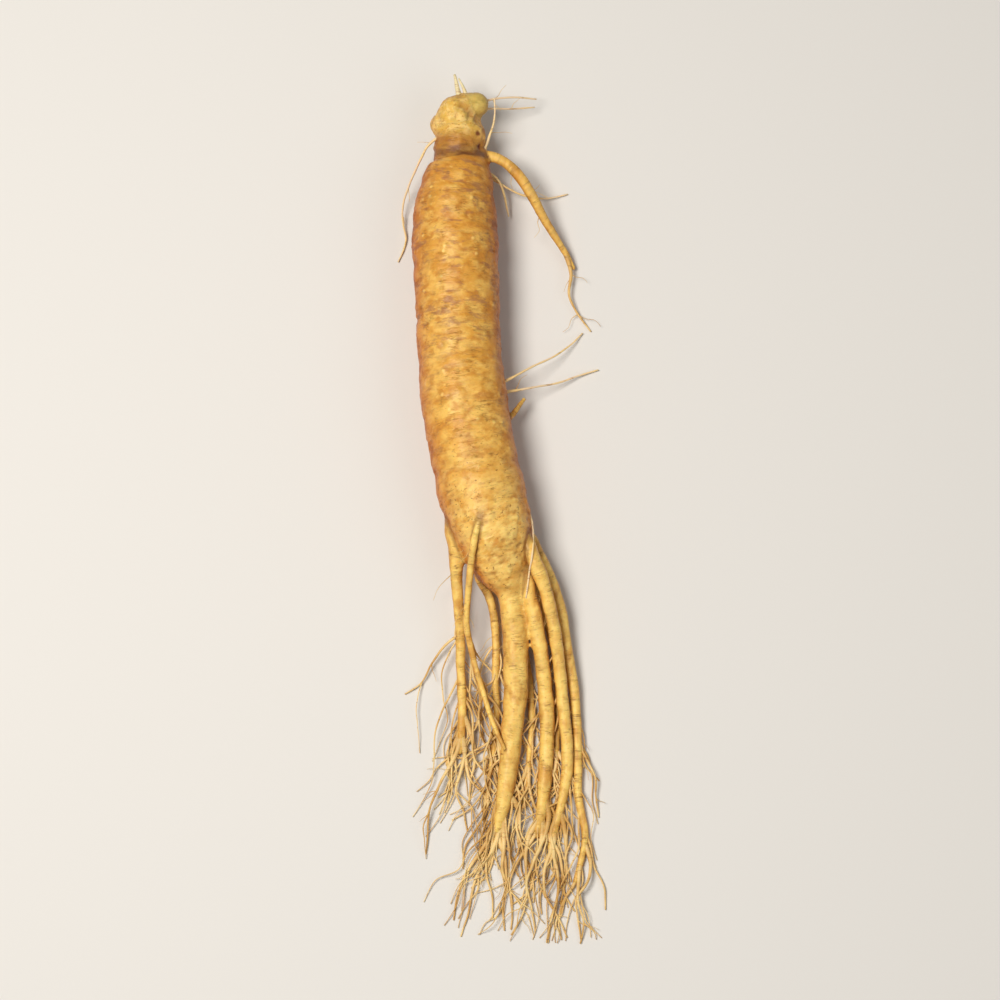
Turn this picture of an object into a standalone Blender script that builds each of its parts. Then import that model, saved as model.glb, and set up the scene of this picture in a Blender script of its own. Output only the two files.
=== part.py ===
"""A fresh ginseng root, dug with its legs and rootlets, lying on its side.

Lengths are in millimetres until MM turns them into metres. The root lies along Y:
its crown points to +Y, its legs to -Y, +Z is up, and the surface it rests on is z = 0.
The origin is the middle of the small flat spot under the heavy part of the body.
"""

import math
import random

import bmesh
import bpy
from mathutils import Euler, Matrix, Vector, noise

MM = 0.001
NODE = "ginseng_root"
SEED = 12

# The body, from the neck below the crown to the end that the legs grow from.
BODY_HALF_WIDTH = 13.5
BODY_SIDES = 22
BODY_RING_STEP = 3.3
LUMP_HEIGHT = 0.45
LUMP_LENGTH = 17.0

# Across, along, height of the middle, and half thickness.
BODY = [
    (-0.6, 95.6, 13.8, 2.2),
    (-0.9, 93.4, 13.8, 4.6),
    (-1.4, 89.6, 13.4, 6.6),
    (-1.4, 85.4, 13.0, 7.6),
    (-1.4, 81.8, 12.8, 8.0),
    (-1.9, 79.4, 12.7, 8.1),
    (-2.1, 77.6, 12.6, 7.8),
    (-1.6, 75.6, 12.6, 9.3),
    (-2.0, 70.6, 12.7, 11.2),
    (-2.8, 63.6, 12.8, 12.7),
    (-3.1, 54.6, 12.9, 13.6),
    (-2.9, 45.0, 13.0, 13.7),
    (-2.4, 33.5, 12.9, BODY_HALF_WIDTH),
    (-1.8, 18.3, 12.8, 13.3),
    (-0.2, 0.0, 13.1, 13.8),
    (2.8, -18.3, 12.9, 13.6),
    (5.2, -30.5, 13.0, 13.8),
    (8.2, -41.7, 13.0, 13.2),
    (10.4, -49.0, 12.6, 11.3),
    (11.9, -54.4, 12.1, 9.3),
    (13.2, -58.6, 11.5, 7.1),
    (14.5, -62.4, 11.0, 4.6),
    (15.1, -65.4, 10.6, 2.4),
]

# Rings where the skin is drawn in: place along Y, depth, and half width of the groove.
GROOVES = [
    (84.8, 0.5, 1.4),
    (66.5, 0.5, 1.8),
    (54.0, 0.35, 1.6),
    (41.5, 0.4, 1.8),
    (24.0, 0.5, 2.2),
    (11.0, 0.35, 1.6),
    (-7.0, 0.3, 1.8),
    (-24.5, 0.45, 2.0),
    (-36.0, 0.35, 1.8),
]

# The crown's lobes and next year's bud: centre, three half sizes, and turn about Z in degrees.
CROWN = {
    "knob": ((-2.2, 90.3, 14.6), (6.8, 7.1, 7.3), 0),
    "saddle": ((0.5, 93.8, 14.4), (4.6, 4.2, 5.6), -20),
    "left_lobe": ((-7.7, 88.2, 12.4), (3.2, 4.0, 5.0), -6),
    "right_lobe": ((3.2, 83.6, 14.0), (3.8, 4.8, 5.2), 6),
    "under_lobe": ((-1.6, 87.0, 9.2), (6.2, 6.4, 4.6), 0),
    "bud": ((3.5, 93.9, 15.6), (4.1, 4.1, 4.2), 0),
}
LOBE_SIDES = 10
LOBE_RINGS = 7
STEM_STUBS = [
    [(-1.6, 95.6, 14.6, 1.2), (-2.4, 100.0, 15.3, 0.8), (-3.3, 103.8, 15.8, 0.5)],
    [(0.6, 96.4, 14.8, 0.8), (-0.6, 99.8, 15.8, 0.5), (-2.0, 102.4, 16.2, 0.35)],
]

# Legs and branches, each from deep inside what it grows from to its tip.
LEGS = {
    "main_leg": [
        (11.6, -50.0, 12.0, 8.4),
        (13.2, -57.5, 11.4, 5.8),
        (14.3, -63.6, 10.6, 4.0),
        (15.2, -70.0, 9.6, 3.8),
        (16.0, -77.0, 8.4, 3.95),
        (16.3, -85.4, 7.2, 4.0),
        (15.8, -97.6, 5.5, 3.7),
        (14.6, -109.8, 4.2, 3.3),
        (13.2, -122.0, 3.3, 2.9),
        (11.8, -130.0, 2.5, 2.3),
        (10.2, -137.0, 1.7, 1.4),
    ],
    "outer_left_leg": [
        (0.0, -32.0, 13.6, 6.4),
        (-1.6, -42.0, 13.8, 4.9),
        (-2.3, -49.5, 12.8, 2.9),
        (-2.4, -58.5, 10.4, 2.05),
        (-1.8, -67.0, 7.6, 1.75),
        (-1.2, -76.3, 5.2, 1.6),
        (-1.1, -85.4, 3.9, 1.55),
        (-0.6, -97.6, 2.6, 1.45),
        (-0.9, -106.8, 1.8, 1.3),
        (-1.4, -112.5, 1.2, 0.85),
    ],
    "front_leg": [
        (6.5, -34.0, 22.5, 2.4),
        (5.0, -42.0, 24.6, 1.7),
        (3.2, -49.0, 23.4, 1.3),
        (2.1, -56.0, 19.6, 1.1),
        (1.2, -64.7, 15.0, 1.0),
        (0.7, -72.6, 11.4, 1.0),
        (1.8, -78.7, 9.6, 1.0),
        (3.5, -86.0, 8.3, 0.95),
        (6.0, -94.0, 7.6, 0.85),
        (8.2, -101.3, 7.6, 0.75),
        (10.4, -106.8, 7.5, 0.65),
        (12.8, -111.8, 7.0, 0.5),
    ],
    "behind_leg": [
        (4.0, -47.0, 8.5, 3.0),
        (5.0, -57.0, 6.6, 1.9),
        (7.7, -63.0, 5.2, 1.5),
        (9.4, -70.0, 3.8, 1.35),
        (10.0, -80.0, 2.7, 1.25),
        (9.8, -90.3, 2.0, 1.15),
        (10.2, -100.0, 1.5, 1.05),
        (9.0, -112.9, 1.2, 0.9),
        (7.2, -122.0, 0.9, 0.6),
    ],
    "inner_right_leg": [
        (14.0, -44.0, 13.0, 5.4),
        (17.3, -52.5, 12.8, 4.2),
        (19.6, -60.0, 12.2, 2.9),
        (20.8, -65.5, 11.4, 2.5),
        (22.2, -71.5, 10.2, 2.45),
        (23.4, -78.0, 8.7, 2.4),
        (24.4, -84.5, 7.3, 2.45),
        (25.4, -93.0, 5.6, 2.45),
        (26.0, -102.5, 4.3, 2.4),
        (25.8, -112.0, 3.4, 2.3),
        (25.2, -121.0, 2.7, 2.15),
        (24.2, -130.4, 2.1, 1.75),
        (22.6, -138.6, 1.5, 1.2),
    ],
    "middle_right_leg": [
        (14.5, -40.0, 15.0, 4.8),
        (19.8, -50.0, 16.0, 3.1),
        (24.2, -59.0, 14.6, 2.3),
        (27.0, -68.3, 12.4, 2.1),
        (28.5, -76.3, 10.2, 2.0),
        (29.6, -84.5, 8.2, 1.95),
        (30.5, -93.0, 6.4, 1.95),
        (31.4, -101.5, 4.9, 1.95),
        (32.2, -109.8, 3.8, 1.9),
        (32.2, -118.0, 2.9, 1.8),
        (31.0, -126.0, 2.2, 1.55),
        (28.8, -134.6, 1.6, 1.25),
        (26.8, -142.5, 1.2, 0.85),
    ],
    "outer_right_leg": [
        (14.5, -38.0, 10.0, 4.6),
        (20.8, -47.5, 9.6, 2.9),
        (25.0, -54.5, 9.0, 2.3),
        (28.0, -61.0, 7.8, 2.0),
        (30.4, -68.3, 6.6, 1.85),
        (31.8, -77.0, 5.2, 1.75),
        (33.6, -87.2, 3.9, 1.65),
        (34.8, -95.8, 2.9, 1.6),
        (35.4, -106.0, 2.2, 1.5),
        (35.6, -117.5, 1.7, 1.4),
        (35.8, -126.3, 1.5, 1.3),
        (37.2, -133.6, 1.25, 1.2),
        (37.8, -139.0, 1.15, 1.1),
        (36.4, -146.4, 1.05, 1.0),
        (34.6, -152.8, 0.9, 0.75),
    ],
    "under_left_leg": [
        (9.5, -48.0, 7.0, 3.0),
        (13.5, -60.0, 4.8, 1.8),
        (17.4, -74.0, 2.9, 1.4),
        (20.2, -88.0, 1.8, 1.25),
        (21.2, -102.0, 1.3, 1.1),
        (20.2, -116.0, 1.1, 0.95),
        (18.6, -128.0, 0.9, 0.65),
    ],
    "under_right_leg": [
        (15.0, -44.0, 6.8, 3.2),
        (20.5, -56.0, 5.0, 1.8),
        (25.0, -68.0, 3.4, 1.35),
        (28.8, -82.0, 2.2, 1.2),
        (29.6, -96.0, 1.5, 1.1),
        (29.0, -110.0, 1.2, 1.0),
        (28.6, -124.0, 0.9, 0.7),
    ],
    "arm": [
        (0.5, 79.0, 13.0, 2.4),
        (6.4, 77.8, 13.8, 1.75),
        (12.0, 76.0, 13.8, 1.65),
        (17.0, 71.6, 12.9, 1.75),
        (21.2, 65.6, 11.0, 1.65),
        (25.2, 58.6, 8.2, 1.45),
        (29.0, 52.8, 5.6, 1.25),
        (32.6, 47.6, 3.2, 1.0),
        (35.0, 43.4, 1.6, 0.7),
    ],
    "side_stub": [
        (11.0, -10.0, 11.5, 1.6),
        (15.0, -6.0, 10.0, 1.0),
        (17.2, -2.8, 8.6, 0.85),
        (19.0, -0.2, 7.6, 0.6),
    ],
}

# Rootlets with a route of their own, from the body and the crown.
LONE_ROOTLETS = [
    [(9.0, 0.5, 12.0, 0.9), (16.0, 1.8, 10.6, 0.5), (22.8, 3.7, 7.4, 0.42),
     (29.5, 5.6, 4.0, 0.38), (36.6, 8.6, 1.4, 0.34), (42.6, 10.6, 0.6, 0.28)],
    [(9.0, 2.0, 14.0, 0.9), (15.0, 5.6, 12.6, 0.5), (21.0, 9.6, 9.4, 0.42),
     (28.8, 14.2, 5.2, 0.36), (34.2, 18.8, 2.0, 0.32), (37.6, 22.6, 0.6, 0.26)],
    [(-6.0, 85.0, 14.0, 0.9), (-11.0, 81.6, 14.6, 0.5), (-14.4, 76.4, 12.0, 0.45),
     (-18.2, 69.0, 7.0, 0.4), (-20.2, 61.0, 3.0, 0.36), (-19.0, 53.0, 0.9, 0.32),
     (-21.6, 46.0, 0.6, 0.26)],
    [(6.0, 80.0, 13.4, 0.8), (8.4, 85.0, 14.8, 0.42), (9.6, 91.0, 15.4, 0.36),
     (9.4, 96.4, 14.6, 0.3)],
    [(4.0, 94.6, 14.0, 0.7), (9.0, 96.4, 13.4, 0.42), (16.0, 97.8, 10.6, 0.36),
     (23.0, 98.2, 7.0, 0.3)],
    [(4.0, 92.6, 13.4, 0.7), (8.4, 93.6, 12.2, 0.4), (15.0, 94.6, 8.4, 0.34),
     (22.4, 96.2, 4.6, 0.28)],
    [(5.0, 74.0, 11.0, 0.9), (10.6, 71.0, 9.0, 0.5), (12.6, 66.4, 6.0, 0.42),
     (14.0, 60.4, 3.0, 0.3)],
    [(5.0, 74.0, 9.0, 0.8), (11.6, 70.0, 7.0, 0.45), (18.6, 67.0, 4.6, 0.38),
     (26.0, 66.6, 2.0, 0.34), (33.0, 68.4, 0.6, 0.26)],
]

# How each leg ends: rootlets that carry on from its tip, and those from its sides.
ENDS = {
    "main_leg": (8, 5),
    "outer_left_leg": (5, 2),
    "front_leg": (2, 2),
    "behind_leg": (4, 3),
    "inner_right_leg": (5, 4),
    "middle_right_leg": (5, 4),
    "outer_right_leg": (3, 4),
    "under_left_leg": (4, 3),
    "under_right_leg": (4, 3),
    "arm": (1, 0),
}
LEG_SIDES = {"main_leg": 12, "inner_right_leg": 10, "outer_left_leg": 9}
USUAL_LEG_SIDES = 7
LEG_RING_STEP = 6.3
ROOTLET_SIDES = 4
ROOTLET_RING_STEP = 6.8
TIP_ROOTLET_LENGTHS = (24.0, 44.0)
SIDE_ROOTLET_LENGTHS = (16.0, 34.0)
TIP_FAN_DEG = 20.0
SIDE_ROOTLET_TURN_DEG = 27.0
SWING_DEG = 24.0
ROOTLET_HALF_WIDTH = 0.5
ROOTLET_TIP_HALF_WIDTH = 0.22
FURTHEST_ALONG = -172.0
ARCH_HEIGHT = 3.0
SURFACE_GAP = 0.15
CURVE_SAMPLES = 12
BLOCK_SPAN = 600.0
BLOCK_DEPTH = 50.0

SKIN_COLOUR = (0.66, 0.39, 0.12, 1.0)
SKIN_ROUGHNESS = 0.55


def clear_scene():
    for obj in list(bpy.data.objects):
        bpy.data.objects.remove(obj, do_unlink=True)


def spline_point(before, start, end, after, t):
    """A Catmull-Rom point between start and end, with every coordinate and the size."""
    return [
        0.5
        * (
            2 * b
            + (c - a) * t
            + (2 * a - 5 * b + 4 * c - d) * t * t
            + (3 * b - a - 3 * c + d) * t**3
        )
        for a, b, c, d in zip(before, start, end, after)
    ]


def smooth_route(stations, step):
    """Points (across, along, up, size) on a smooth curve through stations, about step apart."""
    padded = [stations[0], *stations, stations[-1]]
    fine = []
    for i in range(len(stations) - 1):
        for k in range(CURVE_SAMPLES):
            fine.append(spline_point(*padded[i : i + 4], k / CURVE_SAMPLES))
    fine.append(list(stations[-1]))
    lengths = [0.0]
    for a, b in zip(fine, fine[1:]):
        lengths.append(lengths[-1] + math.dist(a[:3], b[:3]))
    count = max(2, round(lengths[-1] / step))
    route = []
    k = 0
    for i in range(count + 1):
        wanted = lengths[-1] * i / count
        while k < len(fine) - 2 and lengths[k + 1] < wanted:
            k += 1
        share = (wanted - lengths[k]) / max(lengths[k + 1] - lengths[k], 1e-9)
        route.append([a + (b - a) * share for a, b in zip(fine[k], fine[k + 1])])
    return route


def ring_frames(route):
    """For each point of the route, two unit vectors across it that don't twist."""
    centres = [Vector(p[:3]) for p in route]
    frames = []
    across = Vector((0, 0, 1))
    for i in range(len(centres)):
        along = centres[min(i + 1, len(centres) - 1)] - centres[max(i - 1, 0)]
        along.normalize()
        across = (across - along * across.dot(along)).normalized()
        frames.append((across.copy(), along.cross(across)))
    return centres, frames


def sweep(name, route, sides, relief=None):
    """A closed tapered tube along route. relief(centre, direction, size) may change each spoke."""
    centres, frames = ring_frames(route)
    shape = bmesh.new()
    rings = []
    for centre, (up, side), point in zip(centres, frames, route):
        ring = []
        for k in range(sides):
            turn = 2 * math.pi * k / sides
            spoke = up * math.cos(turn) + side * math.sin(turn)
            size = relief(centre, spoke, point[3]) if relief else point[3]
            ring.append(shape.verts.new((centre + spoke * size) * MM))
        rings.append(ring)
    for first, second in zip(rings, rings[1:]):
        for k in range(sides):
            n = (k + 1) % sides
            shape.faces.new((first[k], second[k], second[n], first[n]))
    ends = ((0, 1, -1), (-1, -2, 1))
    for at, inner, order in ends:
        outward = (centres[at] - centres[inner]).normalized()
        tip = shape.verts.new((centres[at] + outward * route[at][3] * 0.6) * MM)
        for k in range(sides):
            corner, following = rings[at][k], rings[at][(k + 1) % sides]
            shape.faces.new((tip, following, corner)[::order])
    return finished(name, shape)


def finished(name, shape):
    """An object with outward faces from the bmesh."""
    bmesh.ops.recalc_face_normals(shape, faces=shape.faces)
    mesh = bpy.data.meshes.new(name)
    shape.to_mesh(mesh)
    shape.free()
    obj = bpy.data.objects.new(name, mesh)
    bpy.context.scene.collection.objects.link(obj)
    return obj


def body_relief(centre, spoke, size):
    """Low lumps all over the body, and the rings where its skin is drawn in."""
    place = (centre + spoke * size) / LUMP_LENGTH
    lumps = LUMP_HEIGHT * noise.noise(place) * min(1.0, size / BODY_HALF_WIDTH)
    drawn_in = sum(
        depth * math.exp(-(((centre.y + 0.25 * spoke.x - at) / half) ** 2))
        for at, depth, half in GROOVES
    )
    return size + lumps - drawn_in


def body():
    return sweep("body", smooth_route(BODY, BODY_RING_STEP), BODY_SIDES, body_relief)


def placed(centre, sizes, turn=0.0):
    """The matrix that scales by sizes, turns about Z by turn degrees and moves to centre."""
    turned = Euler((0.0, 0.0, math.radians(turn)))
    return Matrix.LocRotScale(Vector(centre) * MM, turned, Vector(sizes) * MM)


def lobe(name, centre, sizes, turn):
    """An egg of the three half sizes, turned about Z."""
    shape = bmesh.new()
    bmesh.ops.create_uvsphere(shape, u_segments=LOBE_SIDES, v_segments=LOBE_RINGS, radius=1.0)
    shape.transform(placed(centre, sizes, turn))
    return finished(name, shape)


def crown():
    """The knobs of the rhizome, next year's bud and two dry fibres of an old stem."""
    parts = [lobe(name, *shape) for name, shape in CROWN.items()]
    for i, stub in enumerate(STEM_STUBS):
        parts.append(sweep(f"stem_stub_{i}", smooth_route(stub, 2.6), ROOTLET_SIDES))
    return parts


def legs():
    return [
        sweep(name, smooth_route(stations, LEG_RING_STEP), LEG_SIDES.get(name, USUAL_LEG_SIDES))
        for name, stations in LEGS.items()
    ]


def wandering_route(start, heading_deg, length, size, rng):
    """A rootlet's route from start: it swings from side to side and comes down to the surface."""
    length = min(length, start[1] - FURTHEST_ALONG)
    count = max(3, round(length / ROOTLET_RING_STEP))
    step = length / count
    swing = rng.uniform(0.5, 1.0) * SWING_DEG
    waves = rng.uniform(0.8, 1.6)
    phase = rng.uniform(0, 2 * math.pi)
    arch = rng.uniform(0.0, ARCH_HEIGHT)
    x, y, z = start
    route = [[x, y, z, size]]
    for k in range(1, count + 1):
        share = k / count
        turn = math.radians(
            heading_deg
            + swing * math.sin(2 * math.pi * waves * share + phase)
            + rng.uniform(-7, 7)
        )
        x += step * math.sin(turn)
        y -= step * math.cos(turn)
        half = size + (ROOTLET_TIP_HALF_WIDTH - size) * share
        low = half + SURFACE_GAP
        height = low + (z - low) * (1 - min(1.0, share * 1.7)) ** 1.5
        height += arch * math.sin(math.pi * share) ** 2
        route.append([x, y, height, half])
    return route


def heading_of(first, second):
    """The direction from first to second seen from above, in degrees from -Y towards +X."""
    return math.degrees(math.atan2(second[0] - first[0], first[1] - second[1]))


def rootlets():
    """Rootlets at the ends and along the lower sides of each leg, by rule."""
    rng = random.Random(SEED)
    parts = []
    for leg, (tip_count, side_count) in ENDS.items():
        route = smooth_route(LEGS[leg], LEG_RING_STEP)
        heading = heading_of(route[-3], route[-1])
        for k in range(tip_count):
            fan = TIP_FAN_DEG * (2 * (k + 0.5) / tip_count - 1) + rng.uniform(-6, 6)
            length = rng.uniform(*TIP_ROOTLET_LENGTHS)
            size = ROOTLET_HALF_WIDTH * rng.uniform(0.8, 1.2)
            start = route[-2 - k % 2][:3]
            path = wandering_route(start, heading * 0.5 + fan, length, size, rng)
            parts.append(sweep(f"{leg}_tip_{k}", path, ROOTLET_SIDES))
        for k in range(side_count):
            at = route[round(len(route) * (0.5 + 0.42 * k / max(side_count, 1)))]
            side = 1 if k % 2 else -1
            turn = side * SIDE_ROOTLET_TURN_DEG * rng.uniform(0.6, 1.2)
            length = rng.uniform(*SIDE_ROOTLET_LENGTHS)
            size = ROOTLET_HALF_WIDTH * rng.uniform(0.7, 1.0)
            path = wandering_route(at[:3], heading + turn, length, size, rng)
            parts.append(sweep(f"{leg}_side_{k}", path, ROOTLET_SIDES))
    for k, stations in enumerate(LONE_ROOTLETS):
        parts.append(sweep(f"lone_{k}", smooth_route(stations, ROOTLET_RING_STEP), ROOTLET_SIDES))
    return parts


def floor_block():
    """What is under the surface: it cuts the small flat spots that the root rests on."""
    shape = bmesh.new()
    bmesh.ops.create_cube(shape, size=1.0)
    shape.transform(placed((0.0, 0.0, -BLOCK_DEPTH / 2), (BLOCK_SPAN, BLOCK_SPAN, BLOCK_DEPTH)))
    block = finished("under_surface", shape)
    block.hide_render = True
    block.display_type = "WIRE"
    return block


def joined(base, others, block):
    """One solid of base and the others, with nothing left below the surface."""
    group = bpy.data.collections.new("fused_into_body")
    bpy.context.scene.collection.children.link(group)
    for obj in others:
        bpy.context.scene.collection.objects.unlink(obj)
        group.objects.link(obj)
    union = base.modifiers.new("union", "BOOLEAN")
    union.operation = "UNION"
    union.operand_type = "COLLECTION"
    union.collection = group
    union.solver = "MANIFOLD"
    cut = base.modifiers.new("rest_on_surface", "BOOLEAN")
    cut.operation = "DIFFERENCE"
    cut.object = block
    cut.solver = "MANIFOLD"
    graph = bpy.context.evaluated_depsgraph_get()
    fused = bpy.data.meshes.new_from_object(base.evaluated_get(graph))
    base.modifiers.clear()
    base.data = fused
    for obj in [*others, block]:
        bpy.data.objects.remove(obj, do_unlink=True)
    bpy.data.collections.remove(group)
    return base


def skin():
    material = bpy.data.materials.new("root_skin")
    material.use_nodes = True
    shader = material.node_tree.nodes["Principled BSDF"]
    shader.inputs["Base Color"].default_value = SKIN_COLOUR
    shader.inputs["Roughness"].default_value = SKIN_ROUGHNESS
    shader.inputs["Metallic"].default_value = 0.0
    return material


def main():
    clear_scene()
    root = joined(body(), [*crown(), *legs(), *rootlets()], floor_block())
    root.name = NODE
    root.data.name = NODE
    root.data.materials.clear()
    root.data.materials.append(skin())
    root.data.shade_smooth()


main()
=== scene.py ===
"""The looks of a fresh ginseng root that lies on a pale floor, seen from almost straight above.

Lengths are in millimetres until MM turns them into metres, in the frame of the solid model:
the crown points to +Y, the legs to -Y, +Z is up, and the floor is z = 0.
"""

import math
import random

import bmesh
import bpy
import numpy as np
from mathutils import Euler, Matrix, Vector, noise


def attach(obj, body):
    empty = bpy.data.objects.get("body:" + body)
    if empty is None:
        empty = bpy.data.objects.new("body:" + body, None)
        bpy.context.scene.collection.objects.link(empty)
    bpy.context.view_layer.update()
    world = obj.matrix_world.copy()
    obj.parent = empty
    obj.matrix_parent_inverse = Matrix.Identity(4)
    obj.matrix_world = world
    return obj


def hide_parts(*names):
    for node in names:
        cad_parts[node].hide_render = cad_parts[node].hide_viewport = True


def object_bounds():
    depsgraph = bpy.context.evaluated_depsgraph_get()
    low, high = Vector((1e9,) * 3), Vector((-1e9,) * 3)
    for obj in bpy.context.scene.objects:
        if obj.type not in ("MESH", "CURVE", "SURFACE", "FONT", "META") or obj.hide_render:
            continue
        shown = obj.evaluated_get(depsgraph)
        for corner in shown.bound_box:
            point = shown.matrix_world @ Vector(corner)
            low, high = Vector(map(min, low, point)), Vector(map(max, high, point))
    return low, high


MM = 0.001
NODE = "ginseng_root"
SEED = 12

# The routes and the rule for rootlets below are those of the solid model.
BODY_HALF_WIDTH = 13.5
LUMP_HEIGHT = 0.45
LUMP_LENGTH = 17.0

# Across, along, height of the middle, and half thickness.
BODY = [
    (-0.6, 95.6, 13.8, 2.2),
    (-0.9, 93.4, 13.8, 4.6),
    (-1.4, 89.6, 13.4, 6.6),
    (-1.4, 85.4, 13.0, 7.6),
    (-1.4, 81.8, 12.8, 8.0),
    (-1.9, 79.4, 12.7, 8.1),
    (-2.1, 77.6, 12.6, 7.8),
    (-1.6, 75.6, 12.6, 9.3),
    (-2.0, 70.6, 12.7, 11.2),
    (-2.8, 63.6, 12.8, 12.7),
    (-3.1, 54.6, 12.9, 13.6),
    (-2.9, 45.0, 13.0, 13.7),
    (-2.4, 33.5, 12.9, BODY_HALF_WIDTH),
    (-1.8, 18.3, 12.8, 13.3),
    (-0.2, 0.0, 13.1, 13.8),
    (2.8, -18.3, 12.9, 13.6),
    (5.2, -30.5, 13.0, 13.8),
    (8.2, -41.7, 13.0, 13.2),
    (10.4, -49.0, 12.6, 11.3),
    (11.9, -54.4, 12.1, 9.3),
    (13.2, -58.6, 11.5, 7.1),
    (14.5, -62.4, 11.0, 4.6),
    (15.1, -65.4, 10.6, 2.4),
]

# Rings where the skin is drawn in: place along Y, depth, and half width of the groove.
GROOVES = [
    (84.8, 0.5, 1.4),
    (66.5, 0.5, 1.8),
    (54.0, 0.35, 1.6),
    (41.5, 0.4, 1.8),
    (24.0, 0.5, 2.2),
    (11.0, 0.35, 1.6),
    (-7.0, 0.3, 1.8),
    (-24.5, 0.45, 2.0),
    (-36.0, 0.35, 1.8),
]

# The crown's lobes and next year's bud: centre, three half sizes, and turn about Z in degrees.
CROWN = {
    "knob": ((-2.2, 90.3, 14.6), (6.8, 7.1, 7.3), 0),
    "saddle": ((0.5, 93.8, 14.4), (4.6, 4.2, 5.6), -20),
    "left_lobe": ((-7.7, 88.2, 12.4), (3.2, 4.0, 5.0), -6),
    "right_lobe": ((3.2, 83.6, 14.0), (3.8, 4.8, 5.2), 6),
    "under_lobe": ((-1.6, 87.0, 9.2), (6.2, 6.4, 4.6), 0),
    "bud": ((3.5, 93.9, 15.6), (4.1, 4.1, 4.2), 0),
}
STEM_STUBS = [
    [(-1.6, 95.6, 14.6, 1.2), (-2.4, 100.0, 15.3, 0.8), (-3.3, 103.8, 15.8, 0.5)],
    [(0.6, 96.4, 14.8, 0.8), (-0.6, 99.8, 15.8, 0.5), (-2.0, 102.4, 16.2, 0.35)],
]

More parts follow.
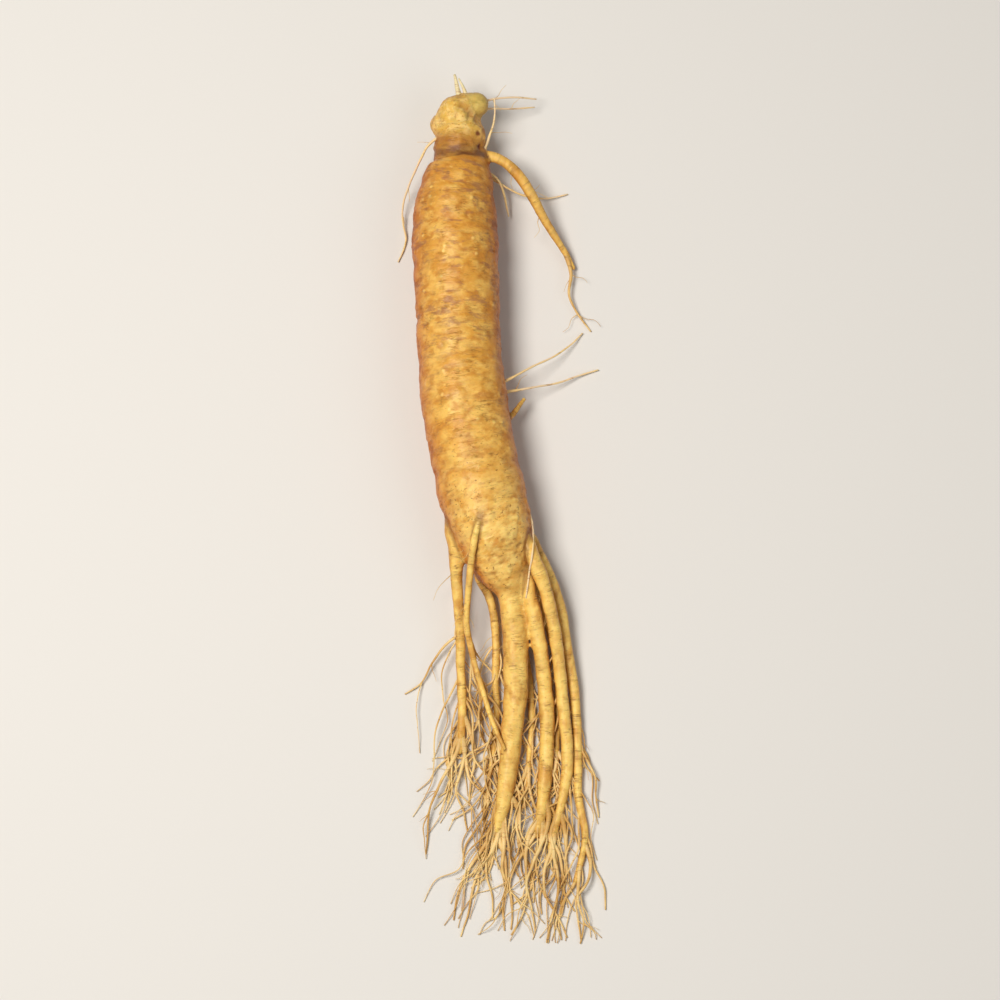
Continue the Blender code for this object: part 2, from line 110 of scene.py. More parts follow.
# Legs and branches, each from deep inside what it grows from to its tip.
LEGS = {
    "main_leg": [
        (11.6, -50.0, 12.0, 8.4),
        (13.2, -57.5, 11.4, 5.8),
        (14.3, -63.6, 10.6, 4.0),
        (15.2, -70.0, 9.6, 3.8),
        (16.0, -77.0, 8.4, 3.95),
        (16.3, -85.4, 7.2, 4.0),
        (15.8, -97.6, 5.5, 3.7),
        (14.6, -109.8, 4.2, 3.3),
        (13.2, -122.0, 3.3, 2.9),
        (11.8, -130.0, 2.5, 2.3),
        (10.2, -137.0, 1.7, 1.4),
    ],
    "outer_left_leg": [
        (0.0, -32.0, 13.6, 6.4),
        (-1.6, -42.0, 13.8, 4.9),
        (-2.3, -49.5, 12.8, 2.9),
        (-2.4, -58.5, 10.4, 2.05),
        (-1.8, -67.0, 7.6, 1.75),
        (-1.2, -76.3, 5.2, 1.6),
        (-1.1, -85.4, 3.9, 1.55),
        (-0.6, -97.6, 2.6, 1.45),
        (-0.9, -106.8, 1.8, 1.3),
        (-1.4, -112.5, 1.2, 0.85),
    ],
    "front_leg": [
        (6.5, -34.0, 22.5, 2.4),
        (5.0, -42.0, 24.6, 1.7),
        (3.2, -49.0, 23.4, 1.3),
        (2.1, -56.0, 19.6, 1.1),
        (1.2, -64.7, 15.0, 1.0),
        (0.7, -72.6, 11.4, 1.0),
        (1.8, -78.7, 9.6, 1.0),
        (3.5, -86.0, 8.3, 0.95),
        (6.0, -94.0, 7.6, 0.85),
        (8.2, -101.3, 7.6, 0.75),
        (10.4, -106.8, 7.5, 0.65),
        (12.8, -111.8, 7.0, 0.5),
    ],
    "behind_leg": [
        (4.0, -47.0, 8.5, 3.0),
        (5.0, -57.0, 6.6, 1.9),
        (7.7, -63.0, 5.2, 1.5),
        (9.4, -70.0, 3.8, 1.35),
        (10.0, -80.0, 2.7, 1.25),
        (9.8, -90.3, 2.0, 1.15),
        (10.2, -100.0, 1.5, 1.05),
        (9.0, -112.9, 1.2, 0.9),
        (7.2, -122.0, 0.9, 0.6),
    ],
    "inner_right_leg": [
        (14.0, -44.0, 13.0, 5.4),
        (17.3, -52.5, 12.8, 4.2),
        (19.6, -60.0, 12.2, 2.9),
        (20.8, -65.5, 11.4, 2.5),
        (22.2, -71.5, 10.2, 2.45),
        (23.4, -78.0, 8.7, 2.4),
        (24.4, -84.5, 7.3, 2.45),
        (25.4, -93.0, 5.6, 2.45),
        (26.0, -102.5, 4.3, 2.4),
        (25.8, -112.0, 3.4, 2.3),
        (25.2, -121.0, 2.7, 2.15),
        (24.2, -130.4, 2.1, 1.75),
        (22.6, -138.6, 1.5, 1.2),
    ],
    "middle_right_leg": [
        (14.5, -40.0, 15.0, 4.8),
        (19.8, -50.0, 16.0, 3.1),
        (24.2, -59.0, 14.6, 2.3),
        (27.0, -68.3, 12.4, 2.1),
        (28.5, -76.3, 10.2, 2.0),
        (29.6, -84.5, 8.2, 1.95),
        (30.5, -93.0, 6.4, 1.95),
        (31.4, -101.5, 4.9, 1.95),
        (32.2, -109.8, 3.8, 1.9),
        (32.2, -118.0, 2.9, 1.8),
        (31.0, -126.0, 2.2, 1.55),
        (28.8, -134.6, 1.6, 1.25),
        (26.8, -142.5, 1.2, 0.85),
    ],
    "outer_right_leg": [
        (14.5, -38.0, 10.0, 4.6),
        (20.8, -47.5, 9.6, 2.9),
        (25.0, -54.5, 9.0, 2.3),
        (28.0, -61.0, 7.8, 2.0),
        (30.4, -68.3, 6.6, 1.85),
        (31.8, -77.0, 5.2, 1.75),
        (33.6, -87.2, 3.9, 1.65),
        (34.8, -95.8, 2.9, 1.6),
        (35.4, -106.0, 2.2, 1.5),
        (35.6, -117.5, 1.7, 1.4),
        (35.8, -126.3, 1.5, 1.3),
        (37.2, -133.6, 1.25, 1.2),
        (37.8, -139.0, 1.15, 1.1),
        (36.4, -146.4, 1.05, 1.0),
        (34.6, -152.8, 0.9, 0.75),
    ],
    "under_left_leg": [
        (9.5, -48.0, 7.0, 3.0),
        (13.5, -60.0, 4.8, 1.8),
        (17.4, -74.0, 2.9, 1.4),
        (20.2, -88.0, 1.8, 1.25),
        (21.2, -102.0, 1.3, 1.1),
        (20.2, -116.0, 1.1, 0.95),
        (18.6, -128.0, 0.9, 0.65),
    ],
    "under_right_leg": [
        (15.0, -44.0, 6.8, 3.2),
        (20.5, -56.0, 5.0, 1.8),
        (25.0, -68.0, 3.4, 1.35),
        (28.8, -82.0, 2.2, 1.2),
        (29.6, -96.0, 1.5, 1.1),
        (29.0, -110.0, 1.2, 1.0),
        (28.6, -124.0, 0.9, 0.7),
    ],
    "arm": [
        (0.5, 79.0, 13.0, 2.4),
        (6.4, 77.8, 13.8, 1.75),
        (12.0, 76.0, 13.8, 1.65),
        (17.0, 71.6, 12.9, 1.75),
        (21.2, 65.6, 11.0, 1.65),
        (25.2, 58.6, 8.2, 1.45),
        (29.0, 52.8, 5.6, 1.25),
        (32.6, 47.6, 3.2, 1.0),
        (35.0, 43.4, 1.6, 0.7),
    ],
    "side_stub": [
        (11.0, -10.0, 11.5, 1.6),
        (15.0, -6.0, 10.0, 1.0),
        (17.2, -2.8, 8.6, 0.85),
        (19.0, -0.2, 7.6, 0.6),
    ],
}

# Rootlets with a route of their own, from the body and the crown.
LONE_ROOTLETS = [
    [(9.0, 0.5, 12.0, 0.9), (16.0, 1.8, 10.6, 0.5), (22.8, 3.7, 7.4, 0.42),
     (29.5, 5.6, 4.0, 0.38), (36.6, 8.6, 1.4, 0.34), (42.6, 10.6, 0.6, 0.28)],
    [(9.0, 2.0, 14.0, 0.9), (15.0, 5.6, 12.6, 0.5), (21.0, 9.6, 9.4, 0.42),
     (28.8, 14.2, 5.2, 0.36), (34.2, 18.8, 2.0, 0.32), (37.6, 22.6, 0.6, 0.26)],
    [(-6.0, 85.0, 14.0, 0.9), (-11.0, 81.6, 14.6, 0.5), (-14.4, 76.4, 12.0, 0.45),
     (-18.2, 69.0, 7.0, 0.4), (-20.2, 61.0, 3.0, 0.36), (-19.0, 53.0, 0.9, 0.32),
     (-21.6, 46.0, 0.6, 0.26)],
    [(6.0, 80.0, 13.4, 0.8), (8.4, 85.0, 14.8, 0.42), (9.6, 91.0, 15.4, 0.36),
     (9.4, 96.4, 14.6, 0.3)],
    [(4.0, 94.6, 14.0, 0.7), (9.0, 96.4, 13.4, 0.42), (16.0, 97.8, 10.6, 0.36),
     (23.0, 98.2, 7.0, 0.3)],
    [(4.0, 92.6, 13.4, 0.7), (8.4, 93.6, 12.2, 0.4), (15.0, 94.6, 8.4, 0.34),
     (22.4, 96.2, 4.6, 0.28)],
    [(5.0, 74.0, 11.0, 0.9), (10.6, 71.0, 9.0, 0.5), (12.6, 66.4, 6.0, 0.42),
     (14.0, 60.4, 3.0, 0.3)],
    [(5.0, 74.0, 9.0, 0.8), (11.6, 70.0, 7.0, 0.45), (18.6, 67.0, 4.6, 0.38),
     (26.0, 66.6, 2.0, 0.34), (33.0, 68.4, 0.6, 0.26)],
]

# A thin rootlet that lies on the lower end of the body, on its right.
CLINGING_ROOTLET = [
    (18.6, -34.0, 17.4, 0.3), (20.3, -38.0, 15.7, 0.36), (21.3, -42.0, 14.8, 0.36),
    (21.7, -46.0, 15.7, 0.35), (21.4, -50.0, 18.8, 0.34), (20.9, -54.0, 18.2, 0.32),
    (20.2, -58.0, 15.5, 0.3), (19.7, -62.0, 14.9, 0.28), (19.4, -65.0, 13.6, 0.26),
]

# How each leg ends: rootlets that carry on from its tip, and those from its sides.
ENDS = {
    "main_leg": (8, 5),
    "outer_left_leg": (5, 2),
    "front_leg": (2, 2),
    "behind_leg": (4, 3),
    "inner_right_leg": (5, 4),
    "middle_right_leg": (5, 4),
    "outer_right_leg": (3, 4),
    "under_left_leg": (4, 3),
    "under_right_leg": (4, 3),
    "arm": (1, 0),
}
LEG_RING_STEP = 6.3
ROOTLET_RING_STEP = 6.8
TIP_ROOTLET_LENGTHS = (24.0, 44.0)
SIDE_ROOTLET_LENGTHS = (16.0, 34.0)
TIP_FAN_DEG = 20.0
SIDE_ROOTLET_TURN_DEG = 27.0
SWING_DEG = 24.0
ROOTLET_HALF_WIDTH = 0.5
ROOTLET_TIP_HALF_WIDTH = 0.22
FURTHEST_ALONG = -172.0
ARCH_HEIGHT = 3.0
SURFACE_GAP = 0.15
CURVE_SAMPLES = 12

# The fused skin: how finely it is made, and how far its fillets reach.
VOXEL = 0.54
BODY_RING_STEP = 1.5
BODY_SIDES = 72
LEG_SKIN_STEP = 0.7
LEG_SIDES = 24
OTHER_LEG_SIDES = 22
MELTED_LEGS = ("main_leg", "outer_left_leg", "inner_right_leg", "arm", "side_stub")
FILLET_ROUNDS = 16
LEG_FILLET_REACH = 1.6
CROWN_FILLET_REACH = 3.2
FILLETS_END = (58.0, 70.0)
ROWS_AT_ONCE = 20000

# Half thickness: under THICK_HALF all is leg or rootlet, and in SLIM_RANGE legs turn into body.
THICK_HALF = 2.5
SLIM_RANGE = (3.0, 9.0)

# The skin's relief. ROUGH_END is where its roughness begins and is full, towards the legs.
WRINKLE_DEPTH = 0.21
BROAD_RELIEF = 0.2
LUMP_RELIEF = 0.2
CROWN_LUMPS = 0.45
CROWN_GRAIN = 0.24
ROUGH_END = (26.0, 48.0)
END_GRAIN = 0.16
FURROW_DEPTH = 0.3

# Small marks on the skin: pits, and nubs with a painted highlight; the crown's scars, the hollow
# below its bud with painted shade in it, the bud itself, painted shade in the clefts between grown
# parts, and the brown neck with its dark lines.
PIT_COUNT = 150
PIT_HALF = 0.6
PIT_DEPTH = 0.3
NUB_COUNT = 70
NUB_HALF = 0.8
NUB_HEIGHT = 0.35
SCARS = [((4.4, 83.8, 18.8), 1.3), ((5.0, 79.8, 17.2), 1.1)]
SCAR_DEPTH = 0.6
# The hollow between the crown's knob and its bud: carved, and given painted shade.
SHADED_HOLLOWS = [(-0.8, 92.6, 21.2), (0.6, 91.2, 20.9), (2.0, 89.8, 19.8), (3.6, 88.8, 17.6)]
SHADED_HOLLOW_HALF = 1.8
SHADED_HOLLOW_DEPTH = 1.0
BUD_REACH = (3.9, 5.6)
CLEFT_SHADE_REACH = 0.9
NECK_ALONG = 77.6
NECK_HALF = 2.2
NECK_LINES = (79.3, 76.2)
NECK_LINE_HALF = 0.5
NECK_LINE_DEPTH = 0.3

# How rootlets, stem fibres and hairs are drawn, beyond the routes that they share with the solid.
FINE_RING_STEP = 1.1
KINK_LENGTH = 4.2
UNEVENNESS = 0.16
LEAST_HEIGHT = 0.25
LONE_THINNING = 0.85
STUB_THINNING = 0.8
HAIR_DROOP = 0.25
TIP_FLARE_SHARE = 0.85
MOST_TIP_FLARE = 2.4
TIP_FLARE_LENGTH = 10.0

# Thinner rootlets and hairs: how many, how long, their half widths, and their turn in degrees.
LEG_BRANCHES = (56, (22.0, 50.0), (0.28, 0.50), 15.0)
ROOTLET_BRANCHES = (76, (14.0, 36.0), (0.18, 0.34), 26.0)
ROOTLET_HAIRS = (110, (3.0, 9.0), (0.08, 0.12), 50.0)
LEG_HAIRS = (60, (4.0, 12.0), (0.09, 0.14), 45.0)
BRANCH_TIP = 0.12
HAIR_TIP = 0.05

# The camera looks down steeply from the legs' side.
CAMERA_ELEVATION_DEG = 80.0
CAMERA_DISTANCE = 1.2
HEIGHT_SHARE = 0.88
SENSOR = 36.0

# Lights: place from the root's middle in metres, width, power and colour.
KEY_LIGHT = ((-0.43, 0.04, 1.05), 0.5, 12.4, (1.0, 0.95, 0.88))
FILL_LIGHT = ((0.7, -0.3, 0.8), 0.8, 1.8, (1.0, 0.98, 0.95))
SURROUND = (1.0, 0.97, 0.93, 1.0)
SURROUND_STRENGTH = 0.2

# The floor, in metres: half its width, and its height, just under the root.
FLOOR_REACH = 3.0
FLOOR_HEIGHT = -0.0001
FLOOR_COLOUR = (0.72, 0.71, 0.69, 1.0)

# Linear colours of the skin.
CREAM = (0.87, 0.54, 0.125, 1.0)
GOLD = (0.72, 0.35, 0.05, 1.0)
ORANGE = (0.55, 0.22, 0.024, 1.0)
# Painted shade, multiplied into the skin down the root's sides, where they turn away from up.
FLANK_PAINTED_SHADE = (0.70, 0.34, 0.10, 1.0)
BROWN = (0.27, 0.10, 0.02, 1.0)
MAUVE = (0.34, 0.14, 0.07, 1.0)
NECK_BROWN = (0.14, 0.048, 0.016, 1.0)
LEG_CREAM = (0.95, 0.66, 0.17, 1.0)
END_CREAM = (0.98, 0.70, 0.21, 1.0)
COLLAR_TAN = (0.48, 0.22, 0.030, 1.0)
COLLAR_BROWN = (0.36, 0.14, 0.02, 1.0)
CROWN_CREAM = (0.95, 0.70, 0.25, 1.0)
CROWN_YELLOW = (0.78, 0.5, 0.1, 1.0)
BUD_GREEN = (0.60, 0.43, 0.10, 1.0)
SCAR_RED = (0.16, 0.03, 0.01, 1.0)
ROOTLET_TAN = (0.6, 0.34, 0.09, 1.0)
ROOTLET_CREAM = (0.88, 0.64, 0.28, 1.0)
ROOTLET_PALE = (0.86, 0.66, 0.42, 1.0)
DRY_STRAW = (0.84, 0.74, 0.46, 1.0)
STRAW_SHADE = (0.62, 0.50, 0.24, 1.0)


def spline_point(before, start, end, after, t):
    """A Catmull-Rom point between start and end, with every coordinate and the size."""
    return [
        0.5
        * (
            2 * b
            + (c - a) * t
            + (2 * a - 5 * b + 4 * c - d) * t * t
            + (3 * b - a - 3 * c + d) * t**3
        )
        for a, b, c, d in zip(before, start, end, after)
    ]


def smooth_route(stations, step):
    """Points (across, along, up, size) on a smooth curve through stations, about step apart."""
    padded = [stations[0], *stations, stations[-1]]
    fine = []
    for i in range(len(stations) - 1):
        for k in range(CURVE_SAMPLES):
            fine.append(spline_point(*padded[i : i + 4], k / CURVE_SAMPLES))
    fine.append(list(stations[-1]))
    lengths = [0.0]
    for a, b in zip(fine, fine[1:]):
        lengths.append(lengths[-1] + math.dist(a[:3], b[:3]))
    count = max(2, round(lengths[-1] / step))
    route = []
    k = 0
    for i in range(count + 1):
        wanted = lengths[-1] * i / count
        while k < len(fine) - 2 and lengths[k + 1] < wanted:
            k += 1
        share = (wanted - lengths[k]) / max(lengths[k + 1] - lengths[k], 1e-9)
        route.append([a + (b - a) * share for a, b in zip(fine[k], fine[k + 1])])
    return route


def ring_frames(route):
    """For each point of the route, two unit vectors across it that don't twist."""
    centres = [Vector(p[:3]) for p in route]
    frames = []
    across = Vector((0, 0, 1))
    for i in range(len(centres)):
        along = centres[min(i + 1, len(centres) - 1)] - centres[max(i - 1, 0)]
        along.normalize()
        across = (across - along * across.dot(along)).normalized()
        frames.append((across.copy(), along.cross(across)))
    return centres, frames


class Surface:
    """Corners and faces of many closed forms, on their way to one mesh."""

    def __init__(self):
        self.corners = []
        self.faces = []

    def tube(self, route, sides, relief=None):
        """A closed tapered tube along route. relief, where there is one, sizes each spoke."""
        centres, frames = ring_frames(route)
        first = len(self.corners)
        turns = [2 * math.pi * k / sides for k in range(sides)]
        for centre, (up, side), point in zip(centres, frames, route):
            for turn in turns:
                spoke = up * math.cos(turn) + side * math.sin(turn)
                size = relief(centre, spoke, point[3]) if relief else point[3]
                self.corners.append(centre + spoke * size)
        for ring in range(len(route) - 1):
            here = first + ring * sides
            for k in range(sides):
                n = (k + 1) % sides
                self.faces.append((here + k, here + n, here + sides + n, here + sides + k))
        last = first + (len(route) - 1) * sides
        for at, inner, ring, order in ((0, 1, first, -1), (-1, -2, last, 1)):
            outward = (centres[at] - centres[inner]).normalized()
            tip = len(self.corners)
            self.corners.append(centres[at] + outward * route[at][3] * 0.6)
            for k in range(sides):
                self.faces.append((ring + k, ring + (k + 1) % sides, tip)[::order])

    def egg(self, centre, sizes, turn, sides=28, rings=18):
        """A closed egg of three half sizes, turned about Z by turn degrees."""
        turned = Euler((0.0, 0.0, math.radians(turn)))
        placed = Matrix.LocRotScale(Vector(centre), turned, Vector(sizes))
        first = len(self.corners)
        for i in range(1, rings):
            down = math.pi * i / rings
            for k in range(sides):
                turn_here = 2 * math.pi * k / sides
                spoke = (math.cos(turn_here) * math.sin(down), math.sin(turn_here) * math.sin(down))
                self.corners.append(placed @ Vector((*spoke, math.cos(down))))
        for ring in range(rings - 2):
            here = first + ring * sides
            for k in range(sides):
                n = (k + 1) % sides
                self.faces.append((here + k, here + sides + k, here + sides + n, here + n))
        last = first + (rings - 2) * sides
        for pole, ring, order in ((1.0, first, 1), (-1.0, last, -1)):
            tip = len(self.corners)
            self.corners.append(placed @ Vector((0.0, 0.0, pole)))
            for k in range(sides):
                self.faces.append((ring + k, ring + (k + 1) % sides, tip)[::order])

    def object(self, name):
        """All the forms as one object of the scene, in metres."""
        mesh = bpy.data.meshes.new(name)
        mesh.from_pydata([corner * MM for corner in self.corners], [], self.faces)
        mesh.update()
        obj = bpy.data.objects.new(name, mesh)
        bpy.context.scene.collection.objects.link(obj)
        return obj


def body_relief(centre, spoke, size):
    """Low lumps all over the body, and the rings where its skin is drawn in."""
    place = (centre + spoke * size) / LUMP_LENGTH
    lumps = LUMP_HEIGHT * noise.noise(place) * min(1.0, size / BODY_HALF_WIDTH)
    drawn_in = sum(
        depth * math.exp(-(((centre.y + 0.25 * spoke.x - at) / half) ** 2))
        for at, depth, half in GROOVES
    )
    return size + lumps - drawn_in


def leg_relief(centre, spoke, size):
    """Legs are a little uneven in thickness."""
    place = centre + spoke * size
    rings = noise.noise(Vector((place.x / 9.0, place.y / 2.6, place.z / 9.0)))
    return size * (1.0 + 0.11 * noise.noise(place / 6.0) + 0.055 * rings)


def wandering_route(start, heading_deg, length, size, rng):
    """A rootlet's route from start: it swings from side to side and comes down to the surface."""
    length = min(length, start[1] - FURTHEST_ALONG)
    count = max(3, round(length / ROOTLET_RING_STEP))
    step = length / count
    swing = rng.uniform(0.5, 1.0) * SWING_DEG
    waves = rng.uniform(0.8, 1.6)
    phase = rng.uniform(0, 2 * math.pi)
    arch = rng.uniform(0.0, ARCH_HEIGHT)
    x, y, z = start
    route = [[x, y, z, size]]
    for k in range(1, count + 1):
        share = k / count
        turn = math.radians(
            heading_deg
            + swing * math.sin(2 * math.pi * waves * share + phase)
            + rng.uniform(-7, 7)
        )
        x += step * math.sin(turn)
        y -= step * math.cos(turn)
        half = size + (ROOTLET_TIP_HALF_WIDTH - size) * share
        low = half + SURFACE_GAP
        height = low + (z - low) * (1 - min(1.0, share * 1.7)) ** 1.5
        height += arch * math.sin(math.pi * share) ** 2
        route.append([x, y, height, half])
    return route


def heading_of(first, second):
    """The direction from first to second seen from above, in degrees from -Y towards +X."""
    return math.degrees(math.atan2(second[0] - first[0], first[1] - second[1]))


def rootlet_stations():
    """The solid model's rootlets by its own rule: those that carry on from a leg's tip, and
    those from the legs' sides."""
    rng = random.Random(SEED)
    from_tips = []
    from_sides = []
    for leg, (tip_count, side_count) in ENDS.items():
        route = smooth_route(LEGS[leg], LEG_RING_STEP)
        heading = heading_of(route[-3], route[-1])
        for k in range(tip_count):
            fan = TIP_FAN_DEG * (2 * (k + 0.5) / tip_count - 1) + rng.uniform(-6, 6)
            length = rng.uniform(*TIP_ROOTLET_LENGTHS)
            size = ROOTLET_HALF_WIDTH * rng.uniform(0.8, 1.2)
            start = route[-2 - k % 2][:3]
            from_tips.append(wandering_route(start, heading * 0.5 + fan, length, size, rng))
        for k in range(side_count):
            at = route[round(len(route) * (0.5 + 0.42 * k / max(side_count, 1)))]
            side = 1 if k % 2 else -1
            turn = side * SIDE_ROOTLET_TURN_DEG * rng.uniform(0.6, 1.2)
            length = rng.uniform(*SIDE_ROOTLET_LENGTHS)
            size = ROOTLET_HALF_WIDTH * rng.uniform(0.7, 1.0)
            from_sides.append(wandering_route(at[:3], heading + turn, length, size, rng))
    return from_tips, from_sides


def fused(surface, name):
    """One skin over all the forms of surface, as an object."""
    raw = surface.object(name)
    remesh = raw.modifiers.new("fuse", "REMESH")
    remesh.mode = "VOXEL"
    remesh.voxel_size = VOXEL * MM
    remesh.adaptivity = 0.0
    graph = bpy.context.evaluated_depsgraph_get()
    mesh = bpy.data.meshes.new_from_object(raw.evaluated_get(graph))
    raw.modifiers.clear()
    old = raw.data
    raw.data = mesh
    bpy.data.meshes.remove(old)
    return raw


def joined(first, second):
    """The first object with the second's mesh added to its own."""
    shape = bmesh.new()
    shape.from_mesh(first.data)
    shape.from_mesh(second.data)
    shape.to_mesh(first.data)
    shape.free()
    bpy.data.objects.remove(second, do_unlink=True)
    return first


def corners_of(mesh):
    """The mesh's corners in millimetres, a row each."""
    places = np.empty(len(mesh.vertices) * 3, dtype=np.float32)
    mesh.vertices.foreach_get("co", places)
    return places.reshape(-1, 3).astype(np.float64) / MM


def normals_of(mesh):
    """The outward direction at each corner of the mesh."""
    normals = np.empty(len(mesh.vertices) * 3, dtype=np.float32)
    mesh.vertex_normals.foreach_get("vector", normals)
    return normals.reshape(-1, 3).astype(np.float64)


def put_corners(mesh, places):
    """Moves the mesh's corners to places, in millimetres."""
    mesh.vertices.foreach_set("co", (places * MM).astype(np.float32).ravel())
    mesh.update()


def edges_of(mesh):
    """The two corners of each edge of the mesh."""
    pairs = np.empty(len(mesh.edges) * 2, dtype=np.int32)
    mesh.edges.foreach_get("vertices", pairs)
    return pairs.reshape(-1, 2)


def neighbour_mean(values, pairs):
    """For each corner, the mean of values over the corners that it shares an edge with."""
    count = len(values)
    shared = np.bincount(pairs.ravel(), minlength=count)
    total = np.empty_like(values)
    for axis in range(values.shape[1]):
        total[:, axis] = np.bincount(pairs[:, 0], values[pairs[:, 1], axis], count)
        total[:, axis] += np.bincount(pairs[:, 1], values[pairs[:, 0], axis], count)
    return total / np.maximum(shared, 1)[:, None]


def smoothed(places, pairs, rounds, amount):
    """places moved towards their neighbours by amount, one number or one for each corner."""
    for _ in range(rounds):
        places = places + (neighbour_mean(places, pairs) - places) * amount
    return places


def unshrunk(places, pairs, rounds):
    """Smoothing that keeps thin forms as thick as they were."""
    for _ in range(rounds):
        places = smoothed(places, pairs, 1, 0.5)
        places = smoothed(places, pairs, 1, -0.52)
    return places


def nearest_routes(places, routes):
    """For each corner: how far it is out of the tube of its next nearest route, which routes are
    the nearest and the next, and the running length and half thickness of the nearest."""
    count = len(places)
    gaps = np.full((len(routes), count), 1e9)
    runs = np.zeros((len(routes), count))
    halves = np.zeros((len(routes), count))
    for r, route in enumerate(routes):
        points = np.array(route)
        steps = np.linalg.norm(np.diff(points[:, :3], axis=0), axis=1)
        run = -points[0, 1] + np.concatenate([[0.0], np.cumsum(steps)])
        ahead = np.gradient(points[:, :3], axis=0)
        ahead /= np.linalg.norm(ahead, axis=1)[:, None]
        for begin in range(0, count, ROWS_AT_ONCE):
            some = places[begin : begin + ROWS_AT_ONCE]
            end = begin + len(some)
            apart = some[:, None, :] - points[None, :, :3]
            gap = np.linalg.norm(apart, axis=2) - points[None, :, 3]
            near = gap.argmin(axis=1)
            rows = np.arange(len(some))
            along = np.einsum("ij,ij->i", apart[rows, near], ahead[near])
            gaps[r, begin:end] = gap[rows, near]
            runs[r, begin:end] = run[near] + along
            halves[r, begin:end] = points[near, 3]
    order = np.argsort(gaps, axis=0)
    columns = np.arange(count)
    first, second = order[0], order[1]
    found = (gaps[second, columns], first, second)
    return (*found, runs[first, columns], halves[first, columns])


def noise_at(places, scales, offset=0.0):
    """Smooth noise from -1 to 1 at each corner, with places scaled axis by axis."""
    scaled = places * np.array(scales) + offset
    return np.array([noise.noise(Vector(point)) for point in scaled])


def step_up(values, low, high):
    """0 below low, 1 above high, and smooth between."""
    share = np.clip((values - low) / (high - low), 0.0, 1.0)
    return share * share * (3 - 2 * share)


def store(mesh, name, values):
    """Keeps values on the mesh's corners, for the material: numbers, or rows of three."""
    kind, key = ("FLOAT_VECTOR", "vector") if values.ndim == 2 else ("FLOAT", "value")
    layer = mesh.attributes.new(name, kind, "POINT")
    layer.data.foreach_set(key, values.astype(np.float32).ravel())


def dimples(places, centres, half):
    """1 at each centre, falling to 0 about half away from it."""
    total = np.zeros(len(places))
    for centre in centres:
        away = np.linalg.norm(places - centre, axis=1)
        total = np.maximum(total, np.exp(-((away / half) ** 2)))
    return total


def wrinkles_of(place):
    """1 along thin uneven lines that run across the root, and 0 between them."""
    lines = 1.0 - np.abs(noise_at(place, (1 / 7, 1 / 1.5, 1 / 7)))
    gate = step_up(noise_at(place, (1 / 5,) * 3, 31.0), -0.25, 0.3)
    return lines**5 * gate


def neck_lines_of(places):
    """1 along the two thin dark lines round the neck."""
    waver = 1.1 * noise_at(places, (1 / 4, 1 / 9, 1 / 4), 12.0)
    lines = sum(
        np.exp(-(((places[:, 1] - along - waver) / NECK_LINE_HALF) ** 2)) for along in NECK_LINES
    )
    return lines * step_up(noise_at(places, (1 / 5,) * 3, 43.0), -0.5, 0.25)


def neck_stain(places, thick, lines):
    """How brown the skin is round the neck, unevenly, and most of all along its lines."""
    neck = np.exp(-(((places[:, 1] - NECK_ALONG) / NECK_HALF) ** 2)) * thick
    neck *= 0.8 + 0.35 * noise_at(places, (1 / 4, 1 / 3, 1 / 4), 21.0)
    return np.clip(0.85 * neck + 0.35 * lines, 0, 1)


def low_forms(places, place, strength, wrinkles, crown, bud, lower):
    """The height of wrinkles and lumps on the body, of lumps on the crown, and of the rough
    furrowed skin on the body's lower end."""
    height = -WRINKLE_DEPTH * wrinkles * strength
    height += BROAD_RELIEF * noise_at(place, (1 / 8, 1 / 4.5, 1 / 8), 57.0) * strength
    height += LUMP_RELIEF * noise_at(place, (1 / 3.0, 1 / 1.8, 1 / 3.0), 66.0) * strength
    height += CROWN_LUMPS * noise_at(places, (1 / 3.4,) * 3, 75.0) * crown * (1.0 - bud)
    height += CROWN_GRAIN * noise_at(places, (1 / 1.5,) * 3, 83.0) * crown
    furrows = (1.0 - np.abs(noise_at(place, (1 / 4.5, 1 / 36.0, 1 / 4.5), 90.0))) ** 5
    rough = noise_at(place, (1 / 1.8, 1 / 1.4, 1 / 1.8), 99.0)
    return height + lower * (END_GRAIN * rough - FURROW_DEPTH * furrows)


def sprinkled(places, body_rows, lower):
    """Pits, most of them on the body's lower end, and nubs all over the body."""
    rng = np.random.default_rng(SEED)
    low_rows = body_rows[rng.random(len(body_rows)) < 0.15 + 0.85 * lower[body_rows]]
    pits = dimples(places, places[rng.choice(low_rows, PIT_COUNT)], PIT_HALF)
    nubs = dimples(places, places[rng.choice(body_rows, NUB_COUNT)], NUB_HALF)
    return pits, nubs


def cleft_shade_of(gap, route, next_route):
    """Painted shade in the clefts between grown parts: 1 where the next form is as near as the
    corner's own, and less the wider the gap to it. The main leg, route 1, carries on from the body,
    route 0, with no groove and so no painted shade between them."""
    outgrowth = (np.minimum(route, next_route) != 0) | (np.maximum(route, next_route) != 1)
    return np.exp(-np.maximum(gap, 0.0) / CLEFT_SHADE_REACH) * outgrowth


